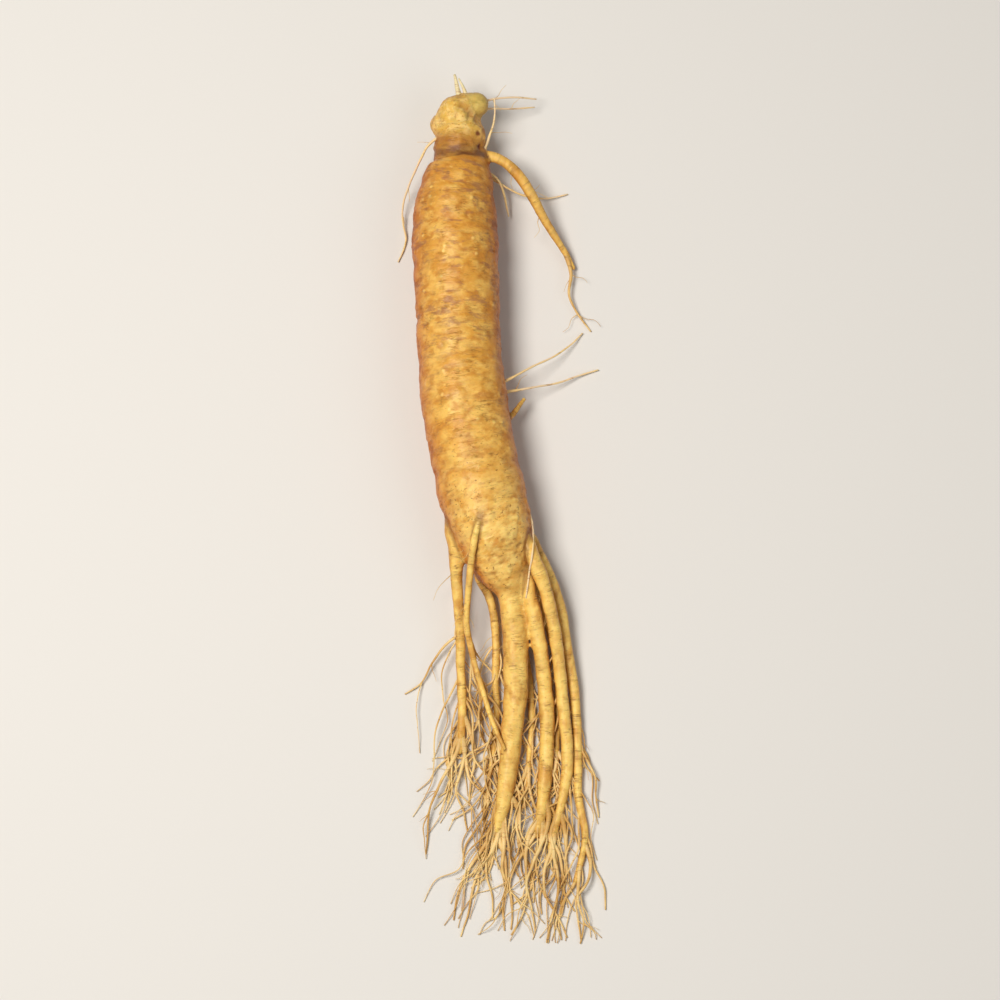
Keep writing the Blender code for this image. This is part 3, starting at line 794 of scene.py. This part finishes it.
def carved(mesh, places, routes):
    """The height of the skin's relief at each corner. What the skin's colours need to know of
    the corners is kept on the mesh."""
    next_gap, route, next_route, run, half = nearest_routes(places, routes)
    thick = half > THICK_HALF
    slim = 1.0 - step_up(half, *SLIM_RANGE)
    slim[places[:, 1] > 0] = 0.0
    slim[~thick] = 1.0
    crown = step_up(places[:, 1], NECK_ALONG + 0.5, NECK_ALONG + 3.0) * thick
    from_bud = np.linalg.norm(places - np.array(CROWN["bud"][0]), axis=1)
    bud = 1.0 - step_up(from_bud, *BUD_REACH)
    lower = step_up(-places[:, 1], *ROUGH_END) * (1.0 - slim)
    place = np.column_stack([places[:, 0], run, places[:, 2]])
    strength = np.clip(half / BODY_HALF_WIDTH, 0.25, 1.0) * (1.0 - crown)
    wrinkles = wrinkles_of(place)
    pits, nubs = sprinkled(places, np.flatnonzero((route == 0) & (crown == 0)), lower)
    scar = sum(dimples(places, [np.array(centre)], size) for centre, size in SCARS)
    hollow_shade = dimples(places, np.array(SHADED_HOLLOWS), SHADED_HOLLOW_HALF)
    lines = neck_lines_of(places) * thick

    height = low_forms(places, place, strength, wrinkles, crown, bud, lower)
    height += NUB_HEIGHT * nubs - PIT_DEPTH * pits
    height -= SCAR_DEPTH * scar + SHADED_HOLLOW_DEPTH * hollow_shade + NECK_LINE_DEPTH * lines

    store(mesh, "place", place)
    store(mesh, "slim", slim)
    # Darker in wrinkles and pits: the skin's own darker tone there, and painted shade.
    store(mesh, "crease_tone_and_shade", np.clip(0.6 * wrinkles * (1.0 - crown) + pits, 0, 1))
    # A painted highlight on each nub.
    store(mesh, "nub_highlight", nubs)
    # Painted shade in the clefts between grown parts.
    store(mesh, "cleft_shade", cleft_shade_of(next_gap, route, next_route) * (1.0 - crown))
    store(mesh, "neck", neck_stain(places, thick, lines))
    store(mesh, "scar", scar)
    # Painted shade in the hollow between the crown's knob and its bud.
    store(mesh, "hollow_shade", hollow_shade)
    store(mesh, "bud", bud)
    store(mesh, "crown", crown)
    # Painted shade down the sides: how far the skin turns away from straight up.
    store(mesh, "flank_shade", 1.0 - normals_of(mesh)[:, 2])
    return height


def fillet_strength(places, routes, pairs):
    """1 where a corner lies in the groove between two parts that have grown together."""
    next_gap, route, next_route, _, half = nearest_routes(places, routes)
    on_crown = (places[:, 1] > NECK_ALONG + 1.0) & (half > THICK_HALF)
    reach = np.where(on_crown, CROWN_FILLET_REACH, LEG_FILLET_REACH)
    share = 1.0 - step_up(next_gap / reach, 0.1, 1.0)
    with_body = (np.minimum(route, next_route) == 0) | on_crown
    share *= with_body * (1.0 - step_up(-places[:, 1], *FILLETS_END))
    return neighbour_mean(share[:, None], pairs)


def root_skin():
    """Crown, body, arm and legs with fillets, wrinkles, pits and scars. The body, its crown and
    its main legs are one skin, and the other legs grow out of it with a sharp edge."""
    melted = Surface()
    others = Surface()
    body_route = smooth_route(BODY, BODY_RING_STEP)
    melted.tube(body_route, BODY_SIDES, body_relief)
    for shape in CROWN.values():
        melted.egg(*shape)
    leg_routes = []
    for name, stations in LEGS.items():
        route = smooth_route(stations, LEG_SKIN_STEP)
        leg_routes.append(route[::2])
        if name in MELTED_LEGS:
            melted.tube(route, LEG_SIDES, leg_relief)
        else:
            others.tube(route, OTHER_LEG_SIDES, leg_relief)
    skin = joined(fused(melted, "root_skin_fine"), others.object("other_legs"))
    mesh = skin.data
    pairs = edges_of(mesh)
    places = unshrunk(corners_of(mesh), pairs, 4)
    lobe_routes = [
        [(*centre, min(sizes)), (centre[0], centre[1] + 0.1, centre[2], min(sizes))]
        for centre, sizes, _ in CROWN.values()
    ]
    routes = [body_route, *leg_routes, *lobe_routes]
    fillet = fillet_strength(places, routes, pairs)
    places = smoothed(places, pairs, FILLET_ROUNDS, 0.5 * fillet)
    put_corners(mesh, places)
    height = carved(mesh, places, routes)
    places = places + normals_of(mesh) * height[:, None]
    places[:, 2] = np.maximum(places[:, 2], 0.0)
    put_corners(mesh, places)
    mesh.shade_smooth()
    return skin


def kinked(stations, rng, kink=0.24, flare=(0.6, 1.8)):
    """A fine route through the stations with small kinks. flare is how much thicker it is where
    it starts, and how many millimetres on that has mostly gone."""
    route = smooth_route(stations, FINE_RING_STEP)
    shift = Vector((rng.uniform(0, 99), rng.uniform(0, 99), rng.uniform(0, 99)))
    done = []
    for k, (x, y, z, half) in enumerate(route):
        free = min(1.0, k * FINE_RING_STEP / 5.0)
        here = Vector((x, y, z)) / KINK_LENGTH + shift
        side = noise.noise(here) * kink * free
        lift = abs(noise.noise(here + Vector((7, 7, 7)))) * kink * free
        uneven = 1.0 + UNEVENNESS * noise.noise(here * 2.6)
        size = half * uneven * (1.0 + flare[0] * math.exp(-k * FINE_RING_STEP / flare[1]))
        done.append([x + side, y, max(z + lift, size + 0.05), size])
    return done


def stays_inside(route, box):
    """Whether a route keeps within the solid's extents, seen from above."""
    low, high = box
    return all(low.x < x * MM < high.x and low.y < y * MM < high.y for x, y, _, _ in route)


def branch_routes(parents, count, lengths, halves, turn_deg, rng, box):
    """count thinner routes that leave the parents at random places and stay inside the box."""
    found = []
    while len(found) < count:
        parent = rng.choice(parents)
        at = rng.randrange(1, max(2, len(parent) - 1))
        x, y, z, half = parent[at]
        heading = heading_of(parent[at - 1], parent[at])
        turn = rng.choice((-1, 1)) * turn_deg * rng.uniform(0.5, 1.3)
        size = min(rng.uniform(*halves), half * 0.8)
        route = wandering_route((x, y, z), heading + turn, rng.uniform(*lengths), size, rng)
        if stays_inside(route, box):
            found.append(route)
    return found


def thinned(stations, tip):
    """The route with its size running down to tip, and its end kept off the floor."""
    last = len(stations) - 1
    base = stations[0][3]
    route = []
    for k, (x, y, z, _) in enumerate(stations):
        route.append([x, y, max(z, LEAST_HEIGHT), base + (tip - base) * k / last])
    return route


def thinner(routes, share):
    """The routes with their sizes times share."""
    return [[[x, y, z, half * share] for x, y, z, half in route] for route in routes]


def tubes_object(name, routes, sides):
    """One smooth object with a tube along each of the routes."""
    surface = Surface()
    for route in routes:
        surface.tube(route, sides)
    obj = surface.object(name)
    obj.data.shade_smooth()
    return obj


def tip_flare(start, leg_points):
    """How a rootlet that carries on from a leg thickens towards the leg that it starts in."""
    leg_half = min(leg_points, key=lambda point: math.dist(point[:3], start[:3]))[3]
    share = TIP_FLARE_SHARE * leg_half / start[3] - 1.0
    return min(max(share, 0.0), MOST_TIP_FLARE), TIP_FLARE_LENGTH


def fine_rootlets(from_tips, from_sides):
    """The solid's rootlets at the legs' ends and sides, with kinks."""
    rng = random.Random(SEED + 1)
    leg_points = [point for leg in ENDS for point in smooth_route(LEGS[leg], LEG_RING_STEP)]
    routes = [kinked(s, rng, flare=tip_flare(s[0], leg_points)) for s in from_tips]
    return tubes_object("rootlets_fine", routes + [kinked(s, rng) for s in from_sides], 7)


def lone_rootlets():
    """The solid's lone rootlets, and the one that lies on the body."""
    rng = random.Random(SEED + 5)
    routes = [kinked(s, rng) for s in thinner(LONE_ROOTLETS, LONE_THINNING)]
    return tubes_object("rootlets_lone", routes + [kinked(CLINGING_ROOTLET, rng)], 7)


def more_rootlets(fringe, box):
    """The thinner rootlets that fill the fringe, and the branches of the main ones."""
    rng = random.Random(SEED + 2)
    low_legs = []
    for leg in ENDS:
        if leg != "arm":
            low_legs.append(smooth_route(LEGS[leg], LEG_RING_STEP)[len(LEGS[leg]) // 2 :])
    from_legs = branch_routes(low_legs, *LEG_BRANCHES, rng, box)
    from_rootlets = branch_routes(fringe, *ROOTLET_BRANCHES, rng, box)
    routes = [kinked(thinned(s, BRANCH_TIP), rng) for s in from_legs + from_rootlets]
    return tubes_object("rootlets_thin", routes, 6)


def drooping(route):
    """A hair too light to come down to the surface: it keeps most of the height it starts at."""
    start = route[0][2]
    return [[x, y, start + (z - start) * HAIR_DROOP, half] for x, y, z, half in route]


def hairs(stations, box):
    """Very thin short hairs along rootlets, legs and arm."""
    rng = random.Random(SEED + 3)
    legs = [smooth_route(LEGS[leg], 3.0)[4:] for leg in ENDS]
    from_rootlets = branch_routes(stations, *ROOTLET_HAIRS, rng, box)
    from_legs = branch_routes(legs, *LEG_HAIRS, rng, box)
    routes = [kinked(drooping(thinned(s, HAIR_TIP)), rng, 0.25) for s in from_rootlets + from_legs]
    return tubes_object("hairs", routes, 4)


def stem_stubs():
    """The dry pale fibres of last year's stem on top of the crown."""
    rng = random.Random(SEED + 4)
    routes = [kinked(stub, rng, 0.3) for stub in thinner(STEM_STUBS, STUB_THINNING)]
    return tubes_object("stem_stubs_fine", routes, 8)


class Nodes:
    """Short ways to add shader nodes to one material."""

    def __init__(self, name):
        self.material = bpy.data.materials.new(name)
        self.material.use_nodes = True
        self.tree = self.material.node_tree
        self.shader = self.tree.nodes["Principled BSDF"]

    def add(self, kind, **settings):
        """A new node with the settings that it is given."""
        node = self.tree.nodes.new(kind)
        for name, value in settings.items():
            setattr(node, name, value)
        return node

    def put(self, value, socket):
        """Links value into socket, or sets it where it is a plain number or colour."""
        if isinstance(value, bpy.types.NodeSocket):
            self.tree.links.new(value, socket)
        else:
            socket.default_value = value

    def attribute(self, name, output="Fac"):
        """What was kept under name on the mesh's corners."""
        return self.add("ShaderNodeAttribute", attribute_name=name).outputs[output]

    def scaled(self, vector, scales):
        node = self.add("ShaderNodeMapping")
        self.put(vector, node.inputs["Vector"])
        node.inputs["Scale"].default_value = scales
        return node.outputs["Vector"]

    def noise(self, vector, scale=1.0, detail=3.0, rough=0.55, distortion=0.0):
        node = self.add("ShaderNodeTexNoise")
        self.put(vector, node.inputs["Vector"])
        node.inputs["Scale"].default_value = scale
        node.inputs["Detail"].default_value = detail
        node.inputs["Roughness"].default_value = rough
        node.inputs["Distortion"].default_value = distortion
        return node.outputs["Fac"]

    def grain(self, place, across, along, **settings):
        """Noise with its scale across the root and its scale along it."""
        return self.noise(self.scaled(place, (across, along, across)), **settings)

    def math(self, operation, a, b=0.0):
        node = self.add("ShaderNodeMath", operation=operation)
        self.put(a, node.inputs[0])
        self.put(b, node.inputs[1])
        return node.outputs[0]

    def times(self, a, b):
        return self.math("MULTIPLY", a, b)

    def between(self, value, low, high, out_low=0.0, out_high=1.0):
        """value's place from low to high, smoothly, as a number from out_low to out_high."""
        node = self.add("ShaderNodeMapRange", interpolation_type="SMOOTHSTEP")
        self.put(value, node.inputs["Value"])
        names = ("From Min", "From Max", "To Min", "To Max")
        for name, number in zip(names, (low, high, out_low, out_high)):
            node.inputs[name].default_value = number
        return node.outputs["Result"]

    def mix(self, share, first, second, blend="MIX"):
        node = self.add("ShaderNodeMix", data_type="RGBA", blend_type=blend)
        self.put(share, node.inputs["Factor"])
        self.put(first, node.inputs["A"])
        self.put(second, node.inputs["B"])
        return node.outputs["Result"]

    def marked(self, colour, name, low, high, share, tint):
        """colour, with up to share of tint where the attribute name goes from low to high."""
        return self.mix(self.between(self.attribute(name), low, high, 0.0, share), colour, tint)

    def bump(self, height, distance, strength, normal=None):
        node = self.add("ShaderNodeBump")
        self.put(height, node.inputs["Height"])
        node.inputs["Distance"].default_value = distance
        node.inputs["Strength"].default_value = strength
        if normal is not None:
            self.put(normal, node.inputs["Normal"])
        return node.outputs["Normal"]

    def flesh(self, roughness, weight, scale):
        """Moist plant flesh: how rough it is, and how much light goes into it and how far."""
        self.put(roughness, self.shader.inputs["Roughness"])
        self.shader.inputs["Subsurface Weight"].default_value = weight
        self.shader.inputs["Subsurface Radius"].default_value = (1.0, 0.45, 0.18)
        self.shader.inputs["Subsurface Scale"].default_value = scale
        self.shader.inputs["Specular IOR Level"].default_value = 0.33
        self.shader.inputs["Coat Weight"].default_value = 0.04
        self.shader.inputs["Coat Roughness"].default_value = 0.35


def patched_colour(n, place, along):
    """Cream, gold and orange patches a few millimetres across, more orange towards the crown, with
    mauve smears on the upper body, and on the lower end cream patches that are partly its paler
    skin and partly painted light, with dark specks. Gives the noise of the orange patches too."""
    upper = n.between(along, 5.0, -60.0)
    patches = n.grain(place, 0.15, 0.20, rough=0.5, distortion=0.4)
    patches = n.math("SUBTRACT", patches, n.times(upper, 0.07))
    colour = n.mix(n.between(patches, 0.33, 0.64), GOLD, CREAM)

    mottle = n.grain(place, 0.27, 0.38, detail=4.0, rough=0.52, distortion=0.35)
    orange_share = n.math("ADD", n.between(mottle, 0.45, 0.68, 0.0, 0.7), n.times(upper, 0.18))
    colour = n.mix(orange_share, colour, ORANGE)

    smears = n.grain(place, 0.15, 0.42, detail=4.0, rough=0.6, distortion=0.3)
    smears = n.between(smears, 0.52, 0.66, 0.0, 0.65)
    colour = n.mix(n.times(smears, n.between(upper, 0.0, 0.4, 0.35, 1.0)), colour, MAUVE)

    # The lower end grows paler: partly its own paler skin, partly painted light.
    end_tone_and_light = n.between(n.grain(place, 0.30, 0.38), 0.38, 0.62, 0.1, 0.8)
    colour = n.mix(n.times(n.between(along, 18.0, 48.0), end_tone_and_light), colour, END_CREAM)
    pale = n.grain(place, 0.42, 0.60, detail=2.0, rough=0.5)
    colour = n.mix(n.between(pale, 0.58, 0.76, 0.0, 0.7), colour, CREAM)

    specks = n.between(n.grain(place, 0.8, 1.0, rough=0.65), 0.61, 0.70, 0.0, 0.8)
    speck_share = n.times(specks, n.between(along, 0.0, 35.0, 0.25, 1.0))
    return n.mix(speck_share, colour, BROWN), mottle


def crown_colour(n, mottle, place, along):
    """Yellow-cream with greenish and tan spots above, tan where the crown meets the neck."""
    upper = n.mix(n.between(mottle, 0.42, 0.58), CROWN_YELLOW, CROWN_CREAM)
    green = n.between(n.grain(place, 0.45, 0.45), 0.50, 0.62, 0.0, 0.75)
    upper = n.mix(green, upper, BUD_GREEN)
    spots = n.between(n.grain(place, 0.8, 0.8, detail=2.0), 0.56, 0.68, 0.0, 0.7)
    upper = n.mix(spots, upper, COLLAR_TAN)
    lower = n.mix(n.between(mottle, 0.42, 0.62), COLLAR_BROWN, COLLAR_TAN)
    return n.mix(n.between(along, -81.0, -87.0), lower, upper)


def thin_lines(n, place, across, along, distortion, half):
    """1 on thin broken lines that run round the root, else 0. The smaller across is beside
    along, the longer and straighter they are."""
    lines = n.grain(place, across, along, detail=2.0, rough=0.5, distortion=distortion)
    line = n.between(n.math("ABSOLUTE", n.math("SUBTRACT", lines, 0.5)), half, 0.0)
    gate = n.between(n.grain(place, 0.25, 0.25, detail=2.0), 0.48, 0.62)
    return n.times(line, gate)


def lined_colour(n, colour, place, slim, line):
    """colour with painted highlights on the nubs and thin lines, and on the slim parts with smudges
    and rings.
    """
    colour = n.mix(n.times(slim, 0.5), colour, LEG_CREAM)
    # Painted highlight: the nubs are made paler.
    colour = n.marked(colour, "nub_highlight", 0.3, 1.0, 0.7, END_CREAM)
    smudges = n.between(n.grain(place, 0.22, 0.11), 0.5, 0.68, 0.0, 0.6)
    colour = n.mix(n.times(smudges, slim), colour, ORANGE)
    colour = n.mix(n.times(line, n.between(slim, 0.0, 0.6, 0.45, 0.0)), colour, BROWN)
    ring = thin_lines(n, place, 0.07, 0.8, 0.1, 0.03)
    return n.mix(n.times(ring, n.between(slim, 0.2, 1.0, 0.0, 0.7)), colour, BROWN)


def stained_colour(n, colour, crown_tint, slim):
    """colour with darker wrinkles and pits (their own tone and painted shade), painted shade in the
    clefts, the crown's own tint, painted shade down the sides and in the hollow below the bud, a
    brown neck and scars.
    """
    crown = n.attribute("crown")
    # Darker in wrinkles and pits: the skin's own darker tone there, and painted shade.
    colour = n.mix(n.times(n.attribute("crease_tone_and_shade"), 0.5), colour, BROWN)
    # Painted shade in the clefts between grown parts.
    colour = n.marked(colour, "cleft_shade", 0.4, 1.0, 0.6, BROWN)
    colour = n.mix(n.times(crown, 0.8), colour, crown_tint)
    colour = n.marked(colour, "bud", 0.0, 1.0, 0.85, BUD_GREEN)
    # Painted shade: the sides are multiplied darker, less on the slim parts and on the crown.
    flank_shade = n.between(n.attribute("flank_shade"), 0.12, 0.85)
    flank_shade = n.times(flank_shade, n.between(slim, 0.0, 1.0, 0.9, 0.5))
    flank_shade = n.times(flank_shade, n.between(crown, 0.0, 1.0, 1.0, 0.45))
    colour = n.mix(flank_shade, colour, FLANK_PAINTED_SHADE, "MULTIPLY")
    # Painted shade in the hollow between the crown's knob and its bud.
    colour = n.marked(colour, "hollow_shade", 0.1, 1.0, 0.6, COLLAR_BROWN)
    colour = n.marked(colour, "neck", 0.1, 0.95, 0.9, NECK_BROWN)
    return n.marked(colour, "scar", 0.3, 0.9, 0.9, SCAR_RED)


def skin_material():
    """Golden skin with patches, fine lines round the root and painted shade down its sides."""
    n = Nodes("root_skin_fine")
    place = n.attribute("place", "Vector")
    slim = n.attribute("slim")
    parts = n.add("ShaderNodeSeparateXYZ")
    n.put(place, parts.inputs[0])
    along = parts.outputs["Y"]
    line = thin_lines(n, place, 0.18, 1.2, 0.7, 0.025)
    colour, mottle = patched_colour(n, place, along)
    colour = lined_colour(n, colour, place, slim, line)
    colour = stained_colour(n, colour, crown_colour(n, mottle, place, along), slim)
    n.put(colour, n.shader.inputs["Base Color"])
    n.flesh(n.between(mottle, 0.35, 0.75, 0.38, 0.52), 0.12, 0.0022)

    fine = n.grain(place, 0.6, 1.6, detail=4.0, rough=0.6)
    normal = n.bump(fine, 0.0003, 0.7)
    normal = n.bump(n.math("SUBTRACT", 1.0, line), 0.00016, 0.7, normal)
    n.put(normal, n.shader.inputs["Normal"])
    return n.material


def rootlet_material(name, dark, pale):
    """Tan rootlets, paler here and there, with fine cross marks."""
    n = Nodes(name)
    coordinates = n.add("ShaderNodeTexCoord").outputs["Object"]
    broad = n.noise(coordinates, scale=90.0)
    colour = n.mix(n.between(broad, 0.35, 0.65), dark, pale)
    marks = n.grain(coordinates, 300.0, 1400.0, detail=2.0)
    colour = n.mix(n.between(marks, 0.58, 0.72, 0.0, 0.5), colour, BROWN)
    n.put(colour, n.shader.inputs["Base Color"])
    n.flesh(0.55, 0.1, 0.0008)
    n.put(n.bump(marks, 0.00012, 0.5), n.shader.inputs["Normal"])
    return n.material


def floor_material():
    n = Nodes("floor_pale")
    n.put(FLOOR_COLOUR, n.shader.inputs["Base Color"])
    n.put(0.7, n.shader.inputs["Roughness"])
    return n.material


def floor():
    """A wide pale plane, which isn't part of the root."""
    mesh = bpy.data.meshes.new("floor")
    square = [(-1, -1), (1, -1), (1, 1), (-1, 1)]
    corners = [(x * FLOOR_REACH, y * FLOOR_REACH, FLOOR_HEIGHT) for x, y in square]
    mesh.from_pydata(corners, [], [(0, 1, 2, 3)])
    obj = bpy.data.objects.new("floor", mesh)
    bpy.context.scene.collection.objects.link(obj)
    mesh.materials.append(floor_material())


def area_light(name, target, offset, size, power, colour):
    """A round soft light at offset from target, turned towards it."""
    data = bpy.data.lights.new(name, "AREA")
    data.shape = "DISK"
    data.size = size
    data.energy = power
    data.color = colour
    lamp = bpy.data.objects.new(name, data)
    lamp.location = target + Vector(offset)
    lamp.rotation_euler = (-Vector(offset)).to_track_quat("-Z", "Y").to_euler()
    bpy.context.scene.collection.objects.link(lamp)


def studio(centre):
    """Soft light from above the camera's left, a weak fill from the right and a pale surround."""
    area_light("key", centre, *KEY_LIGHT)
    area_light("fill", centre, *FILL_LIGHT)
    world = bpy.data.worlds.new("studio")
    world.use_nodes = True
    background = world.node_tree.nodes["Background"]
    background.inputs["Color"].default_value = SURROUND
    background.inputs["Strength"].default_value = SURROUND_STRENGTH
    bpy.context.scene.world = world
    bpy.context.scene.view_settings.view_transform = "Standard"


def camera(low, high):
    """A camera that shows all from low to high. Gives the point that it looks at."""
    centre = (low + high) / 2
    steep = math.radians(CAMERA_ELEVATION_DEG)
    back = Vector((0.0, -math.cos(steep), math.sin(steep)))
    shown = (high.y - low.y) * math.sin(steep) + (high.z - low.z) * math.cos(steep)
    data = bpy.data.cameras.new("camera")
    data.sensor_width = SENSOR
    data.lens = SENSOR * CAMERA_DISTANCE * HEIGHT_SHARE / shown
    data.clip_start = 0.05
    data.clip_end = 20.0
    obj = bpy.data.objects.new("camera", data)
    obj.location = centre + back * CAMERA_DISTANCE
    obj.rotation_euler = (-back).to_track_quat("-Z", "Y").to_euler()
    bpy.context.scene.collection.objects.link(obj)
    bpy.context.scene.camera = obj
    return centre


def dress(obj, material):
    """Puts the material on a piece of the root and lets it stand for the solid."""
    obj.data.materials.clear()
    obj.data.materials.append(material)
    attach(obj, "root")
    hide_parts(NODE)


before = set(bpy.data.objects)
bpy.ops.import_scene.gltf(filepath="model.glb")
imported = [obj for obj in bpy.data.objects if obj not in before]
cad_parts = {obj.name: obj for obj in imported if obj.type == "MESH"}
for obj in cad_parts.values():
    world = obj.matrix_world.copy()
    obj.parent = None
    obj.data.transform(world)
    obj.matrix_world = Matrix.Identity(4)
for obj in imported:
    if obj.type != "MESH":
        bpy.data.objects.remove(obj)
solid_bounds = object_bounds()
centre = camera(*solid_bounds)
studio(centre)
floor()
from_tips, from_sides = rootlet_stations()
dress(root_skin(), skin_material())
tan = rootlet_material("rootlet_tan", ROOTLET_TAN, ROOTLET_CREAM)
dress(fine_rootlets(from_tips, from_sides), tan)
dress(lone_rootlets(), rootlet_material("rootlet_pale", ROOTLET_CREAM, ROOTLET_PALE))
dress(more_rootlets(from_tips + from_sides, solid_bounds), tan)
dress(hairs(from_tips + from_sides + LONE_ROOTLETS, solid_bounds), tan)
dress(stem_stubs(), rootlet_material("dry_straw", STRAW_SHADE, DRY_STRAW))
